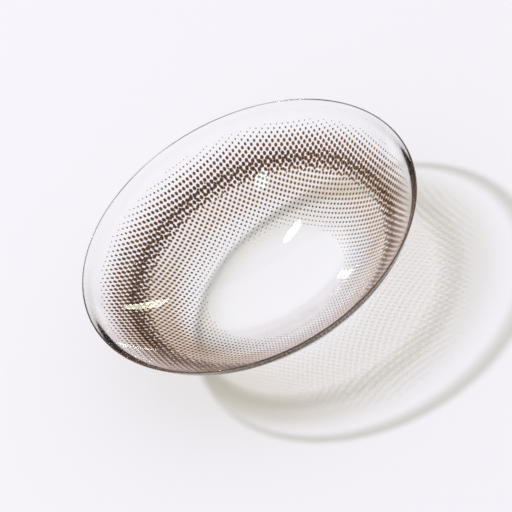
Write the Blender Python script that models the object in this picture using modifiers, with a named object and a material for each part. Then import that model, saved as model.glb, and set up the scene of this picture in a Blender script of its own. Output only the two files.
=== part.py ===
"""A soft coloured contact lens, lying bowl up as it comes to rest on its front surface.

The lens is one moulded piece of clear hydrogel: a thin shell between a back surface, which lies
on the eye, and a front surface, which faces out. Its iris print is sealed inside the wall, so it
adds no shape of its own and is shown here as rings of faces in colours of their own.

The shell is a turned profile. Both surfaces are worked out from one polar angle, measured at the
centre of the back curve from straight down, so that each point of the front surface stands off
its partner on the back by the wall's thickness there. Units are metres, +Z is up, and the origin
is the centre of the small flat spot that the soft shell rests on.
"""

import math

import bpy
import numpy as np

# Shell

LENS_DIAMETER = 0.0142
BASE_CURVE = 0.0086  # radius of the back surface over the eye
PERIPHERAL_CURVE = 0.0094  # flatter radius near the rim, so that the edge lifts off the eye
BACK_OPTIC_DIAMETER = 0.0124  # where the base curve blends into the peripheral curve
CENTRE_THICKNESS = 0.00008
CARRIER_THICKNESS = 0.00013  # the wall at its thickest, where the edge bevel starts
BEVEL_WIDTH = 0.0006  # the band along the rim over which the wall thins to the edge
EDGE_THICKNESS = 0.00006
REST_SPOT_DIAMETER = 0.0012  # flat spot that the soft shell lies on

# Iris print, as outer limits of its rings seen along the lens axis

PUPIL_OPENING_DIAMETER = 0.0061  # clear window that the eye looks through
BARE_DOTS_DIAMETER = 0.0079  # small brown dots with clear gel between them
IRIS_TINT_DIAMETER = 0.0101  # brown dots over a pale tint
LIMBAL_RING_DIAMETER = 0.0118  # dense dark ring, where the dots run together
DENSE_FADE_DIAMETER = 0.0126  # dark dots that still lie close
PRINT_DIAMETER = 0.0133  # last small dots

# Finish of the wet gel

HYDROGEL_IOR = 1.42
WET_ROUGHNESS = 0.05

# Fineness of the turned mesh

STEPS_AROUND = 96
LONGEST_STEP = 0.00044  # along the profile
BEVEL_STEPS = 4  # over the bevel, whose wall changes fastest
EDGE_STEPS = 4  # around half of the rounded rim


def clear_scene():
    for obj in list(bpy.data.objects):
        bpy.data.objects.remove(obj, do_unlink=True)


def new_collection(name):
    collection = bpy.data.collections.new(name)
    bpy.context.scene.collection.children.link(collection)
    return collection


def hydrogel(name, colour, cover):
    """The wet gel's Principled material, in the mean colour of what is printed in it. cover is the
    share of the ring that the print hides, since the gel between its dots stays clear."""
    material = bpy.data.materials.new(name)
    material.use_nodes = True
    shader = material.node_tree.nodes["Principled BSDF"]
    shader.inputs["Base Color"].default_value = (*colour, 1.0)
    shader.inputs["Metallic"].default_value = 0.0
    shader.inputs["Roughness"].default_value = WET_ROUGHNESS
    shader.inputs["IOR"].default_value = HYDROGEL_IOR
    shader.inputs["Alpha"].default_value = cover
    material.diffuse_color = (*colour, cover)
    return material


# Rings of the print, each with its outer limit and the name of its field of colour

PRINT_RINGS = (
    (PUPIL_OPENING_DIAMETER, "clear"),
    (BARE_DOTS_DIAMETER, "bare_dots"),
    (IRIS_TINT_DIAMETER, "iris_tint"),
    (LIMBAL_RING_DIAMETER, "limbal_ring"),
    (DENSE_FADE_DIAMETER, "dense_fade"),
    (PRINT_DIAMETER, "last_dots"),
)

# Geometry of the shell, in the plane of radius and height

JOIN_ANGLE = math.asin(BACK_OPTIC_DIAMETER / 2 / BASE_CURVE)
BACK_CENTRE_HEIGHT = CENTRE_THICKNESS + BASE_CURVE
PERIPHERAL_CENTRE = (
    (BASE_CURVE - PERIPHERAL_CURVE) * math.sin(JOIN_ANGLE),
    BACK_CENTRE_HEIGHT - (BASE_CURVE - PERIPHERAL_CURVE) * math.cos(JOIN_ANGLE),
)
EDGE_RADIUS = EDGE_THICKNESS / 2
EDGE_ANGLE = math.asin(
    (LENS_DIAMETER / 2 - EDGE_RADIUS - PERIPHERAL_CENTRE[0]) / (PERIPHERAL_CURVE + EDGE_RADIUS)
)
BEVEL_ANGLE = EDGE_ANGLE - BEVEL_WIDTH / PERIPHERAL_CURVE
REST_ANGLE = math.atan2(REST_SPOT_DIAMETER / 2, BACK_CENTRE_HEIGHT)
REST_THICKNESS = BACK_CENTRE_HEIGHT / math.cos(REST_ANGLE) - BASE_CURVE


def outward(angle):
    """Unit normal of the back curve at this polar angle, pointing out through the wall."""
    return np.stack([np.sin(angle), -np.cos(angle)], axis=-1)


def back_surface(angle):
    """The base curve up to the join, then the peripheral arc, which leaves it without a kink."""
    angle = np.asarray(angle, dtype=float)
    base = np.array([0.0, BACK_CENTRE_HEIGHT]) + BASE_CURVE * outward(angle)
    peripheral = np.array(PERIPHERAL_CENTRE) + PERIPHERAL_CURVE * outward(angle)
    return np.where((angle <= JOIN_ANGLE)[..., None], base, peripheral)


def wall_thickness(angle):
    """Grows with the square of the angle up to the bevel, then eases down to the edge."""
    angle = np.asarray(angle, dtype=float)
    rise = (np.clip(angle, REST_ANGLE, BEVEL_ANGLE) / BEVEL_ANGLE) ** 2
    lowest = (REST_ANGLE / BEVEL_ANGLE) ** 2
    share = (rise - lowest) / (1 - lowest)
    carrier = REST_THICKNESS + (CARRIER_THICKNESS - REST_THICKNESS) * share
    along_bevel = np.clip((angle - BEVEL_ANGLE) / (EDGE_ANGLE - BEVEL_ANGLE), 0.0, 1.0)
    ease = (1 - np.cos(math.pi * along_bevel)) / 2
    return carrier + (EDGE_THICKNESS - carrier) * ease


def front_surface(angle):
    return back_surface(angle) + wall_thickness(angle)[..., None] * outward(np.asarray(angle))


def angle_at_radius(radius):
    """Polar angle at which the back surface reaches this distance from the lens axis."""
    if radius <= BACK_OPTIC_DIAMETER / 2:
        return math.asin(radius / BASE_CURVE)
    return math.asin((radius - PERIPHERAL_CENTRE[0]) / PERIPHERAL_CURVE)


def profile_angles():
    """Angles from the rest spot to the edge, with one at each limit of a print ring and of an arc."""
    stops = [REST_ANGLE, JOIN_ANGLE]
    stops += [angle_at_radius(diameter / 2) for diameter, _ in PRINT_RINGS]
    stops += list(np.linspace(BEVEL_ANGLE, EDGE_ANGLE, BEVEL_STEPS + 1))
    stops.sort()
    angles = [stops[0]]
    for start, end in zip(stops, stops[1:]):
        count = max(1, math.ceil((end - start) * BASE_CURVE / LONGEST_STEP))
        angles.extend(np.linspace(start, end, count + 1)[1:])
    return np.array(angles)


def rounded_rim():
    """Half circle from the end of the back surface round to the end of the front surface."""
    inner = back_surface(EDGE_ANGLE)
    outer = front_surface(EDGE_ANGLE)
    middle = (inner + outer) / 2
    across = (inner - outer) / 2
    along = np.array([math.cos(EDGE_ANGLE), math.sin(EDGE_ANGLE)]) * EDGE_RADIUS
    turn = np.linspace(0.0, math.pi, EDGE_STEPS + 1)[1:-1]
    return middle + np.cos(turn)[:, None] * across + np.sin(turn)[:, None] * along


def shell_profile():
    """Closed off by the axis: up the back surface, round the rim and down the front to the flat."""
    angles = profile_angles()
    back_apex = np.array([[0.0, CENTRE_THICKNESS]])
    front_apex = np.zeros((1, 2))
    return np.concatenate(
        [
            back_apex,
            back_surface(angles),
            rounded_rim(),
            front_surface(angles)[::-1],
            front_apex,
        ]
    )


def turned_shell(name, collection):
    """The profile swept once round the lens axis, kept as a plain mesh so its faces take colours."""
    profile = shell_profile()
    points = [(radius, 0.0, height) for radius, height in profile]
    edges = [(i, i + 1) for i in range(len(points) - 1)]
    outline = bpy.data.meshes.new(name + "_outline")
    outline.from_pydata(points, edges, [])
    shell = bpy.data.objects.new(name, outline)
    collection.objects.link(shell)
    screw = shell.modifiers.new("Turn", "SCREW")
    screw.axis = "Z"
    screw.angle = math.tau
    screw.steps = STEPS_AROUND
    screw.render_steps = STEPS_AROUND
    screw.use_merge_vertices = True
    screw.merge_threshold = 1e-7
    bpy.context.view_layer.update()
    graph = bpy.context.evaluated_depsgraph_get()
    turned = bpy.data.meshes.new_from_object(shell.evaluated_get(graph))
    turned.name = name
    shell.modifiers.clear()
    shell.data = turned
    bpy.data.meshes.remove(outline)
    turned.shade_smooth()
    turned.set_sharp_from_angle(angle=math.radians(50))
    return shell


def colour_print(shell, materials):
    """Gives the back surface's faces the ring that they lie in; all other faces stay clear."""
    limits = [diameter / 2 for diameter, _ in PRINT_RINGS]
    rings = [ring for _, ring in PRINT_RINGS] + ["clear"]
    names = list(materials)
    for material in materials.values():
        shell.data.materials.append(material)
    for face in shell.data.polygons:
        radius = math.hypot(face.center.x, face.center.y)
        ring = rings[int(np.searchsorted(limits, radius))] if face.normal.z > 0 else "clear"
        face.material_index = names.index(ring)


def main():
    clear_scene()
    collection = new_collection("coloured_contact_lens")
    materials = {
        "clear": hydrogel("clear_hydrogel", (0.93, 0.95, 0.96), 0.18),
        "bare_dots": hydrogel("bare_brown_dots", (0.24, 0.14, 0.09), 0.30),
        "iris_tint": hydrogel("brown_dots_on_pale_tint", (0.40, 0.28, 0.22), 0.48),
        "limbal_ring": hydrogel("dark_limbal_ring", (0.11, 0.052, 0.03), 0.84),
        "dense_fade": hydrogel("dense_dark_dots", (0.14, 0.078, 0.052), 0.50),
        "last_dots": hydrogel("last_dark_dots", (0.16, 0.10, 0.075), 0.28),
    }
    lens = turned_shell("contact_lens", collection)
    colour_print(lens, materials)


main()
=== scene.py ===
# %% [markdown]
# # A coloured contact lens
#
# A soft coloured lens is a small bowl of clear, wet gel with an iris print sealed inside its
# wall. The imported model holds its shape, and this notebook dresses it: a finer shell is turned,
# every dot of the print is laid into the wall, and a pale floor, soft light and a camera are set
# up round it.
#
# Lengths are in metres and +Z is up. The lens lies bowl up on a small flat spot, whose middle is
# the origin.

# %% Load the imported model
import math

import bpy
import numpy as np
from mathutils import Matrix, Vector


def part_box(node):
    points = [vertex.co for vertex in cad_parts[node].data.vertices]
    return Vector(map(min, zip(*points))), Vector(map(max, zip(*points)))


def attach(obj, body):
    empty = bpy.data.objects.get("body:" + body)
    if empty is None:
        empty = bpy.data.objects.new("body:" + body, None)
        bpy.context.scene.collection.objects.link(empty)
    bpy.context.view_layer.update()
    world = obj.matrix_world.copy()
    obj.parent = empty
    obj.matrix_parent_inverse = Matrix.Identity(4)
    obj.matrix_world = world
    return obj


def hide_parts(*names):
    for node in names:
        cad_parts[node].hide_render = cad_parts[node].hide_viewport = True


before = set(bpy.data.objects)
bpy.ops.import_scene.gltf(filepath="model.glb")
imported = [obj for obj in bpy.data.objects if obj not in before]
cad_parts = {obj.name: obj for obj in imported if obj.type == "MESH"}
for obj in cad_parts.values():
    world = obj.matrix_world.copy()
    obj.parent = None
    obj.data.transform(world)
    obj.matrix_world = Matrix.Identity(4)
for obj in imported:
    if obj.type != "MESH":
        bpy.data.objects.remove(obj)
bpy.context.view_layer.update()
low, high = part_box("contact_lens")
MM = 0.001
print("packed lens, mm:", [round(side / MM, 3) for side in high - low])

# %% [markdown]
# ## Sizes of the shell
#
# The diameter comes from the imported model. The other sizes are what an optician would read off a
# data sheet: the base curve over the eye, the flatter curve near the rim that lifts the edge off
# it, and the wall at a few places.
#
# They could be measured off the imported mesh, but plain numbers are easier to follow. They are the
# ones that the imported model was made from, so the finer shell lies just where it does.

# %% Sizes of the shell
LENS_DIAMETER = high.x - low.x
BASE_CURVE = 8.6 * MM
PERIPHERAL_CURVE = 9.4 * MM
BACK_OPTIC_DIAMETER = 12.4 * MM
CENTRE_THICKNESS = 0.08 * MM
CARRIER_THICKNESS = 0.13 * MM
BEVEL_WIDTH = 0.6 * MM
EDGE_THICKNESS = 0.06 * MM
REST_SPOT_DIAMETER = 1.2 * MM
print("diameter, mm:", round(LENS_DIAMETER / MM, 3))

# %% Angles and centres that follow from the sizes
JOIN_ANGLE = math.asin(BACK_OPTIC_DIAMETER / 2 / BASE_CURVE)
BACK_CENTRE_HEIGHT = CENTRE_THICKNESS + BASE_CURVE
CURVE_STEP = BASE_CURVE - PERIPHERAL_CURVE
PERIPHERAL_CENTRE_RADIUS = CURVE_STEP * math.sin(JOIN_ANGLE)
PERIPHERAL_CENTRE_HEIGHT = BACK_CENTRE_HEIGHT - CURVE_STEP * math.cos(JOIN_ANGLE)
EDGE_RADIUS = EDGE_THICKNESS / 2
EDGE_ANGLE = math.asin(
    (LENS_DIAMETER / 2 - EDGE_RADIUS - PERIPHERAL_CENTRE_RADIUS)
    / (PERIPHERAL_CURVE + EDGE_RADIUS)
)
BEVEL_ANGLE = EDGE_ANGLE - BEVEL_WIDTH / PERIPHERAL_CURVE
REST_ANGLE = math.atan2(REST_SPOT_DIAMETER / 2, BACK_CENTRE_HEIGHT)
REST_THICKNESS = BACK_CENTRE_HEIGHT / math.cos(REST_ANGLE) - BASE_CURVE
print("slope of the wall at the rim:", round(math.degrees(EDGE_ANGLE), 1), "degrees")

# %% [markdown]
# ## The shell's curves
#
# The mould of a real lens is cut on a lathe, one arc after another. So every point of this shell
# is found from one angle, measured at the centre of the base curve from straight down. Two arcs
# that share a tangent give the back surface, which lies on the eye. The front surface stands off
# it by the wall's thickness, along the same normal.
#
# A Screw modifier on a drawn curve would give the shell as well, but the ink has to lie inside
# the wall, and with the surface as a function each dot can be put at its depth. Working with
# arrays of angles keeps that short: one call gives a whole profile.


# %% Back surface
def back_surface(angle, depth=0.0):
    """Radius and height at an angle from the axis: centre of the arc plus (arc radius + depth)
    times the outward normal (sin, -cos). The base arc gives way to the peripheral arc at the
    join, and depth is how far inside the wall the surface lies."""
    angle = np.asarray(angle, float)
    base = angle <= JOIN_ANGLE
    centre_radius = np.where(base, 0.0, PERIPHERAL_CENTRE_RADIUS)
    centre_height = np.where(base, BACK_CENTRE_HEIGHT, PERIPHERAL_CENTRE_HEIGHT)
    arc = np.where(base, BASE_CURVE, PERIPHERAL_CURVE) + depth
    return centre_radius + arc * np.sin(angle), centre_height - arc * np.cos(angle)


def angle_at_radius(radius, depth=0.0):
    """The angle at which the surface that lies depth inside the wall has this plan radius: the
    arc sine of radius over arc radius, on whichever of the two arcs reaches it."""
    base = np.arcsin(np.clip(radius / (BASE_CURVE + depth), -1, 1))
    peripheral = np.arcsin((radius - PERIPHERAL_CENTRE_RADIUS) / (PERIPHERAL_CURVE + depth))
    return np.where(base <= JOIN_ANGLE, base, peripheral)


print("depth of the bowl, mm:", round(float(back_surface(EDGE_ANGLE)[1]) / MM, 3))


# %% Wall thickness
def wall_thickness(angle):
    """From the rest spot the wall grows with the square of the angle up to the bevel, then a
    half cosine takes it down to the edge."""
    angle = np.asarray(angle, float)
    rise = (np.clip(angle, REST_ANGLE, BEVEL_ANGLE) / BEVEL_ANGLE) ** 2
    lowest = (REST_ANGLE / BEVEL_ANGLE) ** 2
    share = (rise - lowest) / (1 - lowest)
    carrier = REST_THICKNESS + (CARRIER_THICKNESS - REST_THICKNESS) * share
    along_bevel = np.clip((angle - BEVEL_ANGLE) / (EDGE_ANGLE - BEVEL_ANGLE), 0, 1)
    ease = (1 - np.cos(math.pi * along_bevel)) / 2
    return carrier + (EDGE_THICKNESS - carrier) * ease


print("wall where the bevel starts, mm:", round(float(wall_thickness(BEVEL_ANGLE)) / MM, 3))

# %% [markdown]
# ## The shell as a grid
#
# A potter would say that the lens is thrown on a wheel, and a grid does the same: one direction
# runs along the profile and the other runs round the axis. The two ends of the profile lie on
# the axis, where all columns share one point, so the shell is closed and has no seam.
#
# Clear gel shows what lies behind it, bent by its surface, and coarse faces would break that
# view and every highlight into facets. So the grid is fine, with a row for every half degree.

# %% Profile of the shell
PROFILE_STEPS = 104
RIM_STEPS = 10

along = np.linspace(0, 1, PROFILE_STEPS + 1)
back_angles = EDGE_ANGLE * along[1:]
back_radii, back_heights = back_surface(back_angles)

front_angles = REST_ANGLE + (EDGE_ANGLE - REST_ANGLE) * along
front_radii, front_heights = back_surface(front_angles, wall_thickness(front_angles))

# The rim is a half circle about the middle of the wall's end, from the back round to the front.
rim_turn = np.linspace(0, math.pi, RIM_STEPS + 1)[1:-1]
rim_middle_radius, rim_middle_height = back_surface(EDGE_ANGLE, EDGE_RADIUS)
rim_radii = rim_middle_radius + EDGE_RADIUS * (
    np.sin(rim_turn) * math.cos(EDGE_ANGLE) - np.cos(rim_turn) * math.sin(EDGE_ANGLE)
)
rim_heights = rim_middle_height + EDGE_RADIUS * (
    np.sin(rim_turn) * math.sin(EDGE_ANGLE) + np.cos(rim_turn) * math.cos(EDGE_ANGLE)
)

profile_radii = np.concatenate([[0], back_radii, rim_radii, front_radii[::-1], [0]])
profile_heights = np.concatenate(
    [[CENTRE_THICKNESS], back_heights, rim_heights, front_heights[::-1], [0]]
)
print("points along the profile:", len(profile_radii))


# %% Turn the profile into a closed mesh
def turned_mesh(name, radii, heights, columns):
    """Grid of points (radius cos turn, radius sin turn, height) over rows and turns, with one
    shared point at each end of the profile, and faces that point away from the gel."""
    turn = np.arange(columns) * math.tau / columns
    inner_radii = radii[1:-1, None]
    inner_heights = np.repeat(heights[1:-1, None], columns, axis=1)
    ring = [inner_radii * np.cos(turn), inner_radii * np.sin(turn), inner_heights]
    grid = np.stack(ring, axis=-1).reshape(-1, 3)
    points = np.concatenate([[[0, 0, heights[0]]], grid, [[0, 0, heights[-1]]]])
    rows = len(radii) - 2
    index = 1 + np.arange(rows * columns).reshape(rows, columns)
    beside = np.roll(index, -1, axis=1)
    quads = np.stack([index[:-1], index[1:], beside[1:], beside[:-1]], axis=-1)
    first = np.stack([np.zeros(columns, int), index[0], beside[0]], axis=-1)
    last = np.stack([np.full(columns, len(points) - 1), beside[-1], index[-1]], axis=-1)
    faces = [*quads.reshape(-1, 4).tolist(), *first.tolist(), *last.tolist()]
    mesh = bpy.data.meshes.new(name)
    mesh.from_pydata(points.tolist(), [], faces)
    mesh.shade_smooth()
    return mesh


COLUMNS = 256
shell_mesh = turned_mesh("hydrogel_shell", profile_radii, profile_heights, COLUMNS)
shell = bpy.data.objects.new("hydrogel_shell", shell_mesh)
bpy.context.scene.collection.objects.link(shell)
print("faces of the shell:", len(shell_mesh.polygons))

# %% [markdown]
# ## Where the bevel is
#
# Over its last half millimetre or so the wall thins down to a rounded edge, and that bevel is
# what the eye sees as the outline of the lens. The material has to know where it lies. It could
# work that out from the height, but each point's place down the bevel is known here, so the mesh
# keeps it as an attribute, zero where the bevel starts and one round the rim.

# %% Mark how far each point lies down the bevel
profile_angles = np.concatenate(
    [back_angles, np.full(RIM_STEPS - 1, EDGE_ANGLE), front_angles[::-1]]
)
down_bevel = np.clip((profile_angles - BEVEL_ANGLE) / (EDGE_ANGLE - BEVEL_ANGLE), 0, 1)
bevel_values = np.concatenate([[0], np.repeat(down_bevel, COLUMNS), [0]]).astype(np.float32)
shell_mesh.attributes.new("bevel", "FLOAT", "POINT").data.foreach_set("value", bevel_values)
print("points on the bevel:", int((bevel_values > 0).sum()))

# %% [markdown]
# ## The iris print
#
# The print is a halftone, as in a newspaper: a square lattice of dots whose size sets how dark
# each place looks. A printer's pad lays it on flat, so the lattice is even when the lens is seen
# along its axis. There are two such screens, turned apart. Small brown dots fill the iris, each
# on a pale tan halo. Larger dark dots begin at the edge of the iris and thin out again towards
# the rim, and where the two screens lie over each other they make the dark ring.
#
# A picture wrapped round the bowl could show this, and so could a material that works out the
# lattice. Here every dot is a thin drop of ink inside the wall. It stays sharp from any distance,
# the gel bends the view of it as it should, and where the wall is seen at a low angle the dots
# close up into a dark band.


# %% Points of a lattice
def lattice(spacing, turn, reach, offset):
    """Points of a square lattice: whole steps along two axes, turned by an angle, out to a
    reach from the middle. offset shifts it, in steps, so that no dot lies on the axis."""
    count = int(reach / spacing) + 2
    steps = np.arange(-count, count + 1)
    first, second = np.meshgrid(steps + offset[0], steps + offset[1])
    x = spacing * (first * math.cos(turn) - second * math.sin(turn))
    y = spacing * (first * math.sin(turn) + second * math.cos(turn))
    return x.ravel(), y.ravel()


DARK_SPACING = 0.184 * MM
DARK_TURN = math.radians(10.5)
DARK_OFFSET = (0.31, 0.17)
DARK_REACH = 7.2 * MM
BROWN_SPACING = 0.177 * MM
BROWN_TURN = math.radians(39.7)
BROWN_OFFSET = (0.23, 0.41)
BROWN_REACH = 5.9 * MM
dark_x, dark_y = lattice(DARK_SPACING, DARK_TURN, DARK_REACH, DARK_OFFSET)
brown_x, brown_y = lattice(BROWN_SPACING, BROWN_TURN, BROWN_REACH, BROWN_OFFSET)
print("lattice points, dark and brown:", len(dark_x), len(brown_x))


# %% A smooth change from place to place
def smooth_step(low_end, high_end, value):
    """Zero below the low end, one above the high end, and 3t^2 - 2t^3 between them."""
    t = np.clip((value - low_end) / (high_end - low_end), 0, 1)
    return t * t * (3 - 2 * t)


print("a quarter of the way along, a smooth step has reached", smooth_step(0, 1, 0.25))

# %% [markdown]
# ## A side darkened with painted shade
#
# In the photograph the soft lens bends down to the sheet on its left, and that side looks much darker
# than the rest, from shade and from the print seen edge-on. The best way to show it would be to bend
# the shell, but the shell keeps the round shape of the imported model. So larger dots on that side
# paint that shade and stand in for the bend, and so does a deeper tint of the gel further on. The
# print of a real lens is even all round, and with STAND_IN at zero this one is too.

# %% How far a place lies towards the side with painted shade
STAND_IN = 1.0
PAINTED_SHADE_SIDE = math.radians(-165)
PAINTED_SHADE_FROM = 0.3  # as the cosine of the angle from that side


def painted_shade_share(x, y):
    """One on the side with painted shade and zero from 73 degrees round from it: a smooth step up the
    cosine of the angle from that side."""
    return STAND_IN * smooth_step(PAINTED_SHADE_FROM, 1, np.cos(np.arctan2(y, x) - PAINTED_SHADE_SIDE))


for degrees in (0, 35, 70):
    a = PAINTED_SHADE_SIDE + math.radians(degrees)
    share = float(painted_shade_share(math.cos(a), math.sin(a)))
    print("share of the darker side,", degrees, "degrees round:", round(share, 2))

# %% [markdown]
# ## Drops of ink
#
# Small dots are round, but where they are large they reach for each other with their corners, and
# only small gaps of clear gel are left between them. So a drop is outlined by a curve that can be
# anything between a circle and a diamond.
#
# There are nearly six thousand drops, so each has few faces, and all drops of one kind are
# worked out together as one mesh. Instances of one drop would be lighter, but every drop here
# follows the curve of the wall that it lies in, and has a size of its own.

# %% Outline and faces of one drop
DROP_CORNERS = 12


def drop_outline(x, y, diameter, roundness, turn):
    """Plan of the drops, one row each: the curve |u|^n + |v|^n = 1 on the lattice's own axes,
    scaled to the drop's half diameter. n = 2 is a circle and n = 1 a diamond."""
    around = np.arange(DROP_CORNERS) * math.tau / DROP_CORNERS
    power = roundness[:, None]
    reach = (np.abs(np.cos(around)) ** power + np.abs(np.sin(around)) ** power) ** (-1 / power)
    half = diameter[:, None] / 2 * reach
    return x[:, None] + half * np.cos(around + turn), y[:, None] + half * np.sin(around + turn)


def drop_faces():
    """Faces of a drop whose points are its two middles and then the two rings of its outline: a
    fan over each middle and a wall of triangles between the rings. Corners run anticlockwise as
    seen from outside the drop, so the faces point outwards."""
    k = np.arange(DROP_CORNERS)
    upper, upper_next = 2 + k, 2 + (k + 1) % DROP_CORNERS
    lower, lower_next = upper + DROP_CORNERS, upper_next + DROP_CORNERS
    top = np.stack([np.zeros_like(k), upper, upper_next], axis=-1)
    bottom = np.stack([np.ones_like(k), lower_next, lower], axis=-1)
    side_a = np.stack([upper, lower_next, upper_next], axis=-1)
    side_b = np.stack([upper, lower, lower_next], axis=-1)
    return np.concatenate([top, bottom, side_a, side_b])


print("faces of one drop:", len(drop_faces()))

# %% All drops of one kind as one mesh
PRINT_DEPTH = 0.055 * MM
POINTS_PER_DROP = 2 + 2 * DROP_CORNERS
THINNED_RIM = 0.7


def drops(name, x, y, diameter, roundness, body, turn, half_height):
    """Flat drops of ink, one for each (x, y). Both faces are low cones, highest in the middle.
    Each point is dropped onto the surface at the print's depth inside the wall, and stands off
    it along the normal. body is how thick the ink looks in the middle of each drop, zero at the
    outline, and the material colours by it."""
    ring_x, ring_y = drop_outline(x, y, diameter, roundness, turn)
    plan_x = np.concatenate([x[:, None], x[:, None], ring_x, ring_x], axis=1)
    plan_y = np.concatenate([y[:, None], y[:, None], ring_y, ring_y], axis=1)
    rim = np.full(DROP_CORNERS, THINNED_RIM * half_height)
    stand = np.concatenate([[-half_height, half_height], -rim, rim])
    radius = np.hypot(plan_x, plan_y)
    angle = angle_at_radius(radius, PRINT_DEPTH)
    out_radius, out_height = back_surface(angle, PRINT_DEPTH + stand)
    scale = out_radius / radius
    points = np.stack([plan_x * scale, plan_y * scale, out_height], axis=-1).reshape(-1, 3)
    first_points = POINTS_PER_DROP * np.arange(len(x))[:, None, None]
    faces = (drop_faces()[None] + first_points).reshape(-1, 3)
    mesh = bpy.data.meshes.new(name)
    mesh.from_pydata(points.tolist(), [], faces.tolist())
    ink_depth = np.zeros((len(x), POINTS_PER_DROP), np.float32)
    ink_depth[:, :2] = body[:, None]
    mesh.attributes.new("ink_depth", "FLOAT", "POINT").data.foreach_set("value", ink_depth.ravel())
    piece = bpy.data.objects.new(name, mesh)
    bpy.context.scene.collection.objects.link(piece)
    a, b, c = points[faces].transpose(1, 0, 2)
    volume = (a * np.cross(b, c)).sum() / 6  # above zero only if the faces point outwards
    print(name, "drops:", len(x), "faces:", len(faces), "cubic mm:", round(volume / MM**3, 3))
    return piece


# %% [markdown]
# ## The dark ring
#
# The dark dots set in quickly at the iris, are largest in the ring, and then shrink steadily to a
# last row of fine points. A table holds the sizes at a few radii, and each dot takes its own from
# between them. One formula could do it, but a table is easier to match to a real lens.
#
# Near the rim the outer rows lie a little closer to the axis than an even lattice would have
# them, perhaps because the pad gives way on the slope. The outermost dots also look browner, as
# thinner ink does.

# %% Where the dark dots lie
SQUEEZED_FROM = 5.8 * MM
SQUEEZE = 87.5  # d metres past that radius, a dot lies SQUEEZE * d * d metres closer in
DARK_FROM, DARK_TO = 5.0, 6.62  # in millimetres, as are all radii and dot sizes below

flat_radius = np.hypot(dark_x, dark_y)
past = np.maximum(flat_radius - SQUEEZED_FROM, 0)
squeeze = 1 - SQUEEZE * past**2 / flat_radius
x, y = dark_x * squeeze, dark_y * squeeze
r = np.hypot(x, y) / MM
keep = (r > DARK_FROM) & (r < DARK_TO)
x, y, r = x[keep], y[keep], r[keep]
print("rows of dark dots:", round((DARK_TO - DARK_FROM) / (DARK_SPACING / MM)))

# %% Size, outline and thickness of the dark dots
DARK_RADII = [5.0, 5.15, 5.3, 5.4, 5.58, 5.7, 5.8, 6.1, 6.62]
DARK_SIZES = [0.05, 0.115, 0.160, 0.178, 0.182, 0.168, 0.149, 0.123, 0.026]
RING_FROM, RING_TO = 5.4, 5.8
LARGER_IN_RING = 0.14  # on the darker side, as a share of a dot's size
LARGER_PAST_RING = 0.14  # added to that share outside the ring
ROUND = 2.0  # the power that makes an outline round
CORNERED = 0.6  # how far it falls for the largest dots
ROUND_TO, CORNERED_FROM = 0.13, 0.18
THINNED_BY = 0.5
THINNED_FROM, THINNED_TO = 5.6, 5.95
DARK_HALF_HEIGHT = 0.020 * MM

size = np.interp(r, DARK_RADII, DARK_SIZES)
# Painted shade: dark dots grow larger on the side where the bent lens looks dark, past the even
# print.
larger = LARGER_IN_RING + LARGER_PAST_RING * smooth_step(RING_FROM, RING_TO, r)
size *= 1 + larger * painted_shade_share(x, y)
roundness = ROUND - CORNERED * smooth_step(ROUND_TO, CORNERED_FROM, size)
body = 1 - THINNED_BY * smooth_step(THINNED_FROM, THINNED_TO, r)
dark_dots = drops(
    "dark_dots", x, y, size * MM, roundness, body, DARK_TURN, DARK_HALF_HEIGHT
)

# %% [markdown]
# ## Brown dots and their halos
#
# The brown dots start as fine points round the clear pupil window and grow outwards. They run on
# under the dark ring, where the two screens together leave gaps of uneven shape. Over the outer
# part of the iris the gel between them is tinted a pale tan, which warms the whole field. A
# tinted sheet would do that, but thin discs round the dots leave small clear gaps between them,
# and so keep the field lively.

# %% Place the brown dots
BROWN_FROM, BROWN_TO = 2.95, 5.75
FINEST_DOT = 0.034
GROWTH_OVER_IRIS, GROWS_FROM, GROWS_TO = 0.052, 2.75, 3.85
GROWTH_IN_RING, IRIS_TO, IN_RING_FROM = 0.034, 5.3, 5.45
LOSS_AT_END, SHRINKS_FROM = 0.07, 5.55
BROWN_LARGER = 0.15  # on the darker side, as a share of a dot's size
BROWN_BODY = 1.5
BROWN_HALF_HEIGHT = 0.012 * MM

r = np.hypot(brown_x, brown_y) / MM
keep = (r > BROWN_FROM) & (r < BROWN_TO)
x, y, r = brown_x[keep], brown_y[keep], r[keep]
size = FINEST_DOT + GROWTH_OVER_IRIS * smooth_step(GROWS_FROM, GROWS_TO, r)
in_ring = GROWTH_IN_RING * smooth_step(IRIS_TO, IN_RING_FROM, r)
size += in_ring - LOSS_AT_END * smooth_step(SHRINKS_FROM, BROWN_TO, r)
# Painted shade: brown dots grow larger on the side where the bent lens looks dark.
size *= 1 + BROWN_LARGER * painted_shade_share(x, y)
round_dots = np.full_like(size, ROUND)
body = np.full_like(size, BROWN_BODY)
brown_dots = drops(
    "brown_dots", x, y, size * MM, round_dots, body, BROWN_TURN, BROWN_HALF_HEIGHT
)

# %% Place a halo round each brown dot of the outer iris
HALO_FROM, HALO_GROWN, HALO_TO = 3.6, 4.5, 5.25
FINEST_HALO, HALO_GROWTH = 0.07, 0.07
HALO_LARGER = 0.3  # on the darker side, as a share of a halo's size
HALO_HALF_HEIGHT = 0.0025 * MM

keep = (r > HALO_FROM) & (r < HALO_TO)
x, y, r, body, round_dots = x[keep], y[keep], r[keep], body[keep], round_dots[keep]
size = FINEST_HALO + HALO_GROWTH * smooth_step(HALO_FROM, HALO_GROWN, r)
# Painted shade: halos grow larger on the side where the bent lens looks dark.
size *= 1 + HALO_LARGER * painted_shade_share(x, y)
pale_halos = drops(
    "pale_halos", x, y, size * MM, round_dots, body, BROWN_TURN, HALO_HALF_HEIGHT
)
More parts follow.
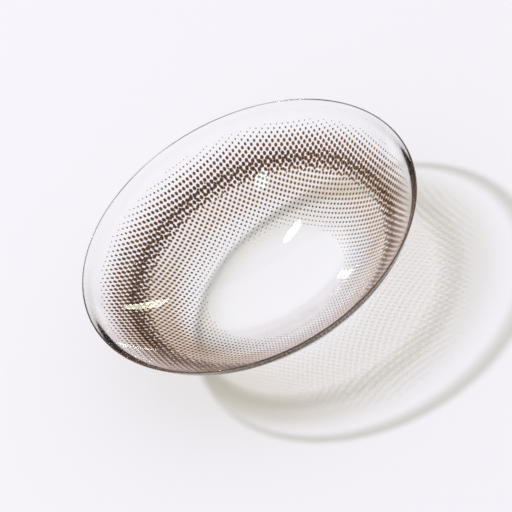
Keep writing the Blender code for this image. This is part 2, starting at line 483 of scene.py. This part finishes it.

# %% [markdown]
# ## Wet gel
#
# Hydrogel is a plastic full of water: it is as clear, and bends light a little more. A Principled
# shader with full transmission and no roughness does that. Where the wall is seen at a low angle, the
# shader's colour deepens to a faint rosy brown with Layer Weight's Facing: this is painted shade,
# which darkens the steep wall. It sets in sooner on the side with painted shade, and later across
# from it. The last part of the bevel gets a painted dark line, which draws the fine outline of the
# lens.
#
# Painted shade laid on by height would suit one point of view only, while Facing keeps it along the
# outline from every side.


# %% The gel's shader
def new_material(name):
    """A material whose node tree is still empty, and that tree."""
    material = bpy.data.materials.new(name)
    material.use_nodes = True
    tree = material.node_tree
    tree.nodes.clear()
    return material, tree


GEL_IOR = 1.42

hydrogel, tree = new_material("clear_hydrogel")
output = tree.nodes.new("ShaderNodeOutputMaterial")
gel = tree.nodes.new("ShaderNodeBsdfPrincipled")
gel.inputs["Roughness"].default_value = 0.0
gel.inputs["IOR"].default_value = GEL_IOR
gel.inputs["Transmission Weight"].default_value = 1.0
shell_mesh.materials.append(hydrogel)
print("index of refraction, against 1.33 for water:", GEL_IOR)


# %% The painted shade of a steep wall
def link(tree, source, output, target, socket):
    """Joins an output of one node to a socket of another, both by name or number."""
    tree.links.new(source.outputs[output], target.inputs[socket])


def colour_ramp(tree, *stops):
    """A ramp with these (position, colour) stops."""
    ramp = tree.nodes.new("ShaderNodeValToRGB")
    elements = ramp.color_ramp.elements
    while len(elements) < len(stops):
        elements.new(0.5)
    for element, (position, colour) in zip(elements, stops):
        element.position = position
        element.color = (*colour, 1)
    return ramp


# Painted shade for the bend: Facing is raised towards that side, so the wall's painted shade sets in
# sooner there.
STEEPER = 22.0 * STAND_IN  # added to Facing for each metre towards the darker side

place = tree.nodes.new("ShaderNodeTexCoord")
view = tree.nodes.new("ShaderNodeLayerWeight")
towards = tree.nodes.new("ShaderNodeVectorMath")
towards.operation = "DOT_PRODUCT"
towards.inputs[1].default_value = (math.cos(PAINTED_SHADE_SIDE), math.sin(PAINTED_SHADE_SIDE), 0)
steeper = tree.nodes.new("ShaderNodeMath")
steeper.operation = "MULTIPLY_ADD"
steeper.inputs[1].default_value = STEEPER
# Painted shade: a rosy brown that darkens the wall where it is seen at a low angle.
painted_wall_shade = colour_ramp(
    tree,
    (0.42, (1, 1, 1)),
    (0.60, (0.95, 0.905, 0.885)),
    (0.70, (0.87, 0.80, 0.775)),
    (0.80, (0.85, 0.78, 0.76)),
    (0.97, (0.66, 0.58, 0.57)),
)
link(tree, place, "Object", towards, 0)
link(tree, towards, "Value", steeper, 0)
link(tree, view, "Facing", steeper, 2)
link(tree, steeper, "Value", painted_wall_shade, "Fac")
print("stops of the wall's tint:", len(painted_wall_shade.color_ramp.elements))

# %% The painted dark line of the rim
LINE_STARTS, LINE_IS_FULL = 0.935, 0.98  # along the bevel, which is one long
UNEVEN = -0.06  # how far the noise moves the line, on the same scale
SWELLS_PER_METRE = 260.0

bevel = tree.nodes.new("ShaderNodeAttribute")
bevel.attribute_name = "bevel"
uneven = tree.nodes.new("ShaderNodeTexNoise")
uneven.inputs["Scale"].default_value = SWELLS_PER_METRE
edge = tree.nodes.new("ShaderNodeMath")
edge.operation = "MULTIPLY_ADD"
edge.inputs[1].default_value = UNEVEN
# Painted shade: a dark line along the rim's edge, in place of the dark surroundings seen bent through
# it.
painted_rim_shade = colour_ramp(tree, (LINE_STARTS, (1, 1, 1)), (LINE_IS_FULL, (0.12, 0.085, 0.075)))
link(tree, place, "Object", uneven, "Vector")
link(tree, uneven, "Fac", edge, 0)
link(tree, bevel, "Fac", edge, 2)
link(tree, edge, "Value", painted_rim_shade, "Fac")

# The two painted shades, of the steep wall and of the rim, multiply the gel's colour.
tint = tree.nodes.new("ShaderNodeMix")
tint.data_type = "RGBA"
tint.blend_type = "MULTIPLY"
tint.inputs[0].default_value = 1.0
tree.links.new(painted_wall_shade.outputs["Color"], tint.inputs["A"])
tree.links.new(painted_rim_shade.outputs["Color"], tint.inputs["B"])
tree.links.new(tint.outputs["Result"], gel.inputs["Base Color"])
print("width of the line, mm:", round((1 - LINE_STARTS) * BEVEL_WIDTH / MM, 3))

# %% [markdown]
# ## The film of water
#
# A lens comes out of its solution wet, and the film on it is never quite even, so highlights
# have a slightly ragged outline. A few micrometres of noise, given to the shader as a bump, does
# that without a single extra face.

# %% Ripple the surface
FILM_HEIGHT = 0.003 * MM
RIPPLES_PER_METRE = 700.0

film = tree.nodes.new("ShaderNodeTexNoise")
film.inputs["Scale"].default_value = RIPPLES_PER_METRE
film.inputs["Detail"].default_value = 3.0
wet = tree.nodes.new("ShaderNodeBump")
wet.inputs["Distance"].default_value = FILM_HEIGHT
wet.inputs["Strength"].default_value = 1.0
link(tree, place, "Object", film, "Vector")
link(tree, film, "Fac", wet, "Height")
link(tree, wet, "Normal", gel, "Normal")
print("film of water, micrometres:", round(FILM_HEIGHT * 1e6, 1))

# %% [markdown]
# ## Light that passes through the gel
#
# The lens throws a light shadow, with a darker line where the steep wall and the bevel turn the
# light aside. Lamps can't reach through bent glass by themselves, and its shadow would come out
# black. So rays that ask how much light reaches a place meet a Transparent shader instead, a
# little darker where the wall is steep and at the bevel. The ink inside and the floor below are
# lit through it.


# %% Two shaders, one for the eye and one for the light
def hand_over(tree, shader, through, output):
    """Gives the surface its shader for what is seen, and the Transparent one for rays that ask
    how much light reaches a place: shadow rays, and rays that leave a matt surface."""
    rays = tree.nodes.new("ShaderNodeLightPath")
    asking = tree.nodes.new("ShaderNodeMath")
    asking.operation = "MAXIMUM"
    mix = tree.nodes.new("ShaderNodeMixShader")
    link(tree, rays, "Is Shadow Ray", asking, 0)
    link(tree, rays, "Is Diffuse Ray", asking, 1)
    link(tree, asking, "Value", mix, 0)
    tree.links.new(shader.outputs[0], mix.inputs[1])
    link(tree, through, "BSDF", mix, 2)
    link(tree, mix, "Shader", output, "Surface")


STEEPNESS_POWER = 5.0
PASSED_AT_BEVEL = (0.56, 0.57, 0.42)

through = tree.nodes.new("ShaderNodeBsdfTransparent")
steep = tree.nodes.new("ShaderNodeMath")
steep.operation = "POWER"
steep.inputs[1].default_value = STEEPNESS_POWER
turned_aside = tree.nodes.new("ShaderNodeMath")
turned_aside.operation = "MAXIMUM"
dimming = colour_ramp(tree, (0.0, (0.999, 0.999, 0.999)), (0.7, PASSED_AT_BEVEL))
link(tree, view, "Facing", steep, 0)
link(tree, steep, "Value", turned_aside, 0)
link(tree, bevel, "Fac", turned_aside, 1)
link(tree, turned_aside, "Value", dimming, "Fac")
link(tree, dimming, "Color", through, "Color")
hand_over(tree, gel, through, output)
print("share of light that each face passes at the bevel:", PASSED_AT_BEVEL)

# %% The faint grey of the gel itself
GEL_DENSITY = 25.0

absorption = tree.nodes.new("ShaderNodeVolumeAbsorption")
absorption.inputs["Color"].default_value = (0.08, 0.06, 0.04, 1)
absorption.inputs["Density"].default_value = GEL_DENSITY
link(tree, absorption, "Volume", output, "Volume")
print("light lost across the wall:", round(1 - math.exp(-GEL_DENSITY * CARRIER_THICKNESS), 4))

# %% [markdown]
# ## Inks
#
# Print ink is matt, and lies thick in the middle of a dot and thin at its outline, so that one
# dot runs from almost black to a reddish brown. The drops carry that as an attribute, and a ramp
# turns it into colour, varied a little from dot to dot by a fine noise. An image could hold the
# same run of colour, but it would need a place in the image for each dot.
#
# The ink is so thin that the bright floor shines through it. A Translucent shader mixed in by
# half does that, and keeps the dots from looking black against the light.


# %% One recipe for all three inks
SPECKS_PER_METRE = 2600.0


def ink(name, core, body, rim, passed):
    """Colour by thickness: rim where attribute plus half the noise is under 0.22, body at 0.42
    and core from 0.85. passed is the share of light that gets through each face of a drop, for
    the shadow of the print."""
    material, tree = new_material(name)
    output = tree.nodes.new("ShaderNodeOutputMaterial")
    shader = tree.nodes.new("ShaderNodeBsdfPrincipled")
    shader.inputs["Roughness"].default_value = 0.6
    shader.inputs["Specular IOR Level"].default_value = 0.0
    depth = tree.nodes.new("ShaderNodeAttribute")
    depth.attribute_name = "ink_depth"
    place = tree.nodes.new("ShaderNodeTexCoord")
    noise = tree.nodes.new("ShaderNodeTexNoise")
    noise.inputs["Scale"].default_value = SPECKS_PER_METRE
    thickness = tree.nodes.new("ShaderNodeMath")
    thickness.operation = "MULTIPLY_ADD"
    thickness.inputs[1].default_value = 0.5
    ramp = colour_ramp(tree, (0.22, rim), (0.42, body), (0.85, core))
    link(tree, place, "Object", noise, "Vector")
    link(tree, noise, "Fac", thickness, 0)
    link(tree, depth, "Fac", thickness, 2)
    link(tree, thickness, "Value", ramp, "Fac")
    link(tree, ramp, "Color", shader, "Base Color")
    lit_through = tree.nodes.new("ShaderNodeBsdfTranslucent")
    link(tree, ramp, "Color", lit_through, "Color")
    both = tree.nodes.new("ShaderNodeMixShader")
    both.inputs[0].default_value = 0.5
    link(tree, shader, "BSDF", both, 1)
    link(tree, lit_through, "BSDF", both, 2)
    through = tree.nodes.new("ShaderNodeBsdfTransparent")
    through.inputs["Color"].default_value = (*passed, 1)
    hand_over(tree, both, through, output)
    print(name, "core:", core, "rim:", rim)
    return material


# %% The inks, from core to rim
dark_ink = ink(
    "dark_ink",
    core=(0.060, 0.021, 0.007),
    body=(0.25, 0.095, 0.035),
    rim=(0.50, 0.30, 0.19),
    passed=(0.64, 0.60, 0.42),
)
brown_ink = ink(
    "brown_ink",
    core=(0.075, 0.031, 0.015),
    body=(0.19, 0.096, 0.052),
    rim=(0.42, 0.28, 0.20),
    passed=(0.76, 0.72, 0.58),
)
pale_ink = ink(
    "pale_ink",
    core=(0.70, 0.50, 0.38),
    body=(0.77, 0.59, 0.47),
    rim=(0.86, 0.72, 0.62),
    passed=(0.98, 0.96, 0.92),
)
for piece, material in ((dark_dots, dark_ink), (brown_dots, brown_ink), (pale_halos, pale_ink)):
    piece.data.materials.append(material)

# %% [markdown]
# ## What belongs to the lens
#
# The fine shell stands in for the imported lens, and the ink is carried along inside it. The lens
# is one piece, so all of them ride on its one body.

# %% Tie the pieces to the frame
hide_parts("contact_lens")
for piece, slot in (
    (shell, "clear_hydrogel"),
    (dark_dots, "dark_print"),
    (brown_dots, "brown_print"),
    (pale_halos, "pale_print"),
):
    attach(piece, "root")
    print(piece.name, "rides on root as", slot)

# %% [markdown]
# ## Floor
#
# The lens lies on a plain pale sheet, cool in tone. It is a large square with a matt finish, and
# lies a hundredth of a millimetre under the lens, so that the two faces at the flat spot don't
# flicker through each other.

# %% Lay the floor
FLOOR_COLOUR = (0.888, 0.871, 0.922)
FLOOR_HALF = 1.0
FLOOR_LEVEL = -0.01 * MM

corners = [(-1, -1), (1, -1), (1, 1), (-1, 1)]
floor_points = [(FLOOR_HALF * a, FLOOR_HALF * b, FLOOR_LEVEL) for a, b in corners]
floor_mesh = bpy.data.meshes.new("floor")
floor_mesh.from_pydata(floor_points, [], [(0, 1, 2, 3)])
floor = bpy.data.objects.new("floor", floor_mesh)
bpy.context.scene.collection.objects.link(floor)

paper, tree = new_material("pale_floor")
output = tree.nodes.new("ShaderNodeOutputMaterial")
shader = tree.nodes.new("ShaderNodeBsdfPrincipled")
shader.inputs["Base Color"].default_value = (*FLOOR_COLOUR, 1)
shader.inputs["Roughness"].default_value = 0.7
shader.inputs["Specular IOR Level"].default_value = 0.2
link(tree, shader, "BSDF", output, "Surface")
floor_mesh.materials.append(paper)
print("floor colour:", FLOOR_COLOUR)

# %% [markdown]
# ## Surroundings
#
# A clear thing shows only what is around it, and in an evenly white room it would vanish. So the
# world is bright overhead and dim at the horizon, and the outline of the gel picks up fine dark
# lines from that. Matt surfaces take a little over half of it, which leaves room for a lamp that
# throws a soft shadow.

# %% World
WORLD_HORIZON = 0.16
WORLD_OVERHEAD = 1.05
BRIGHT_FROM = 0.5  # upwards of this height on the sky, as the sine of its elevation
SHARE_THAT_LIGHTS = 0.575

world = bpy.data.worlds.new("studio")
bpy.context.scene.world = world
world.use_nodes = True
tree = world.node_tree
tree.nodes.clear()
output = tree.nodes.new("ShaderNodeOutputWorld")
background = tree.nodes.new("ShaderNodeBackground")
place = tree.nodes.new("ShaderNodeTexCoord")
split = tree.nodes.new("ShaderNodeSeparateXYZ")
height = tree.nodes.new("ShaderNodeMapRange")
height.inputs["From Min"].default_value = 0.0
height.inputs["From Max"].default_value = BRIGHT_FROM
height.inputs["To Min"].default_value = WORLD_HORIZON
height.inputs["To Max"].default_value = WORLD_OVERHEAD
link(tree, place, "Generated", split, "Vector")
link(tree, split, "Z", height, "Value")
link(tree, height, "Result", background, "Color")
link(tree, background, "Background", output, "Surface")
print("world, horizon to overhead:", WORLD_HORIZON, WORLD_OVERHEAD)

# %% Matt surfaces take a share of it
rays = tree.nodes.new("ShaderNodeLightPath")
strength = tree.nodes.new("ShaderNodeMapRange")
strength.inputs["From Min"].default_value = 0.0
strength.inputs["From Max"].default_value = 1.0
strength.inputs["To Min"].default_value = 1.0
strength.inputs["To Max"].default_value = SHARE_THAT_LIGHTS
link(tree, rays, "Is Diffuse Ray", strength, "Value")
link(tree, strength, "Result", background, "Strength")
print("share that lights matt surfaces:", SHARE_THAT_LIGHTS)

# %% [markdown]
# ## Lamps
#
# One lamp from the back left lights the floor and the ink and throws the shadow. The others are
# the windows and lamps of the room, which are seen only as they are mirrored in the wet gel: an
# oval glint in the pupil, a pale strip on the left of the iris, and a few smaller ones.
#
# Spheres and cards with a glowing material would do as well. Area lamps are cleaner in the
# image, and each can be told whether it lights matt surfaces or only shows in the gel.

# %% A lamp that looks at the lens
LAMP_DISTANCE = 1.4


def oval_lamp(
    name, azimuth, elevation, wide, tall, glow, colour=(1, 1, 1), turn=0, lights_floor=False
):
    """An oval lamp in this direction from the lens, which fills this many degrees each way. glow
    is how bright its face looks, as a multiple of white: power = pi * area * glow. A lamp either
    lights the floor and the ink, or is there to be seen mirrored in the gel."""
    data = bpy.data.lights.new(name, "AREA")
    data.shape = "ELLIPSE"
    data.size = 2 * LAMP_DISTANCE * math.tan(math.radians(wide / 2))
    data.size_y = 2 * LAMP_DISTANCE * math.tan(math.radians(tall / 2))
    data.energy = math.pi * (math.pi / 4 * data.size * data.size_y) * glow
    data.color = colour
    lamp = bpy.data.objects.new(name, data)
    a, e = math.radians(azimuth), math.radians(elevation)
    towards = Vector((math.cos(e) * math.cos(a), math.cos(e) * math.sin(a), math.sin(e)))
    facing = towards.to_track_quat("Z", "Y").to_matrix() @ Matrix.Rotation(math.radians(turn), 3, "Z")
    lamp.matrix_world = Matrix.Translation(towards * LAMP_DISTANCE) @ facing.to_4x4()
    lamp.visible_diffuse = lights_floor
    lamp.visible_glossy = lamp.visible_transmission = not lights_floor
    bpy.context.scene.collection.objects.link(lamp)
    print(name, "watts:", round(data.energy, 1))


# %% The lamp that lights the floor, and the ones that are mirrored
oval_lamp("sun", azimuth=135, elevation=44, wide=3.6, tall=3.6, glow=640, lights_floor=True)
oval_lamp("key", azimuth=131.5, elevation=64, wide=12, tall=4.2, glow=50, turn=-24.5)
oval_lamp("back_window", azimuth=88, elevation=42, wide=64, tall=40, glow=0.35)
oval_lamp("low_back", azimuth=106, elevation=13.5, wide=3.2, tall=3.6, glow=60)
oval_lamp(
    "sky_patch", azimuth=-142, elevation=65, wide=7, tall=11, glow=6, colour=(0.62, 0.92, 1.0)
)
oval_lamp(
    "side_strip", azimuth=37, elevation=25, wide=3.8, tall=22, glow=12, colour=(0.98, 1.0, 0.80)
)

# %% [markdown]
# ## Camera
#
# The photograph looks down into the bowl from 41 degrees above its rim, with the right side of
# the rim raised by 30 degrees. The lens could be leaned over to match, but it lies here as it
# comes to rest, so the camera is rolled instead. It stands seven lens widths off and has a long
# focal length, because the rim is an almost perfect ellipse in the photograph.

# %% Place the camera
ELEVATION = math.radians(41.4)
ROLL = math.radians(30.0)
DISTANCE = 0.1
IMAGE_SIDE = 512
SENSOR_WIDTH = 36
RIM_CENTRE_PIXEL = (246.18, 230.23)  # across and down, in the photograph
PIXELS_PER_METRE = 25400

rim_centre = Vector((0, 0, high.z))
back = Vector((0, -math.cos(ELEVATION), math.sin(ELEVATION)))
level_right = Vector((1, 0, 0))
level_up = back.cross(level_right)
right = math.cos(ROLL) * level_right - math.sin(ROLL) * level_up
up = math.sin(ROLL) * level_right + math.cos(ROLL) * level_up

camera_data = bpy.data.cameras.new("camera")
camera_data.sensor_width = SENSOR_WIDTH
camera_data.lens = SENSOR_WIDTH * PIXELS_PER_METRE * DISTANCE / IMAGE_SIDE
camera_data.shift_x = (IMAGE_SIDE / 2 - RIM_CENTRE_PIXEL[0]) / IMAGE_SIDE
camera_data.shift_y = (RIM_CENTRE_PIXEL[1] - IMAGE_SIDE / 2) / IMAGE_SIDE
camera_data.clip_start = 0.001
camera_data.clip_end = 10
camera = bpy.data.objects.new("camera", camera_data)
bpy.context.scene.collection.objects.link(camera)
axes = Matrix((right, up, back)).transposed().to_4x4()
camera.matrix_world = Matrix.Translation(rim_centre + DISTANCE * back) @ axes
bpy.context.scene.camera = camera
print("focal length, mm:", round(camera_data.lens, 1))

# %% [markdown]
# ## Finish
#
# The colours are shown through the Standard view transform.

# %% Set the view transform
bpy.context.scene.view_settings.view_transform = "Standard"
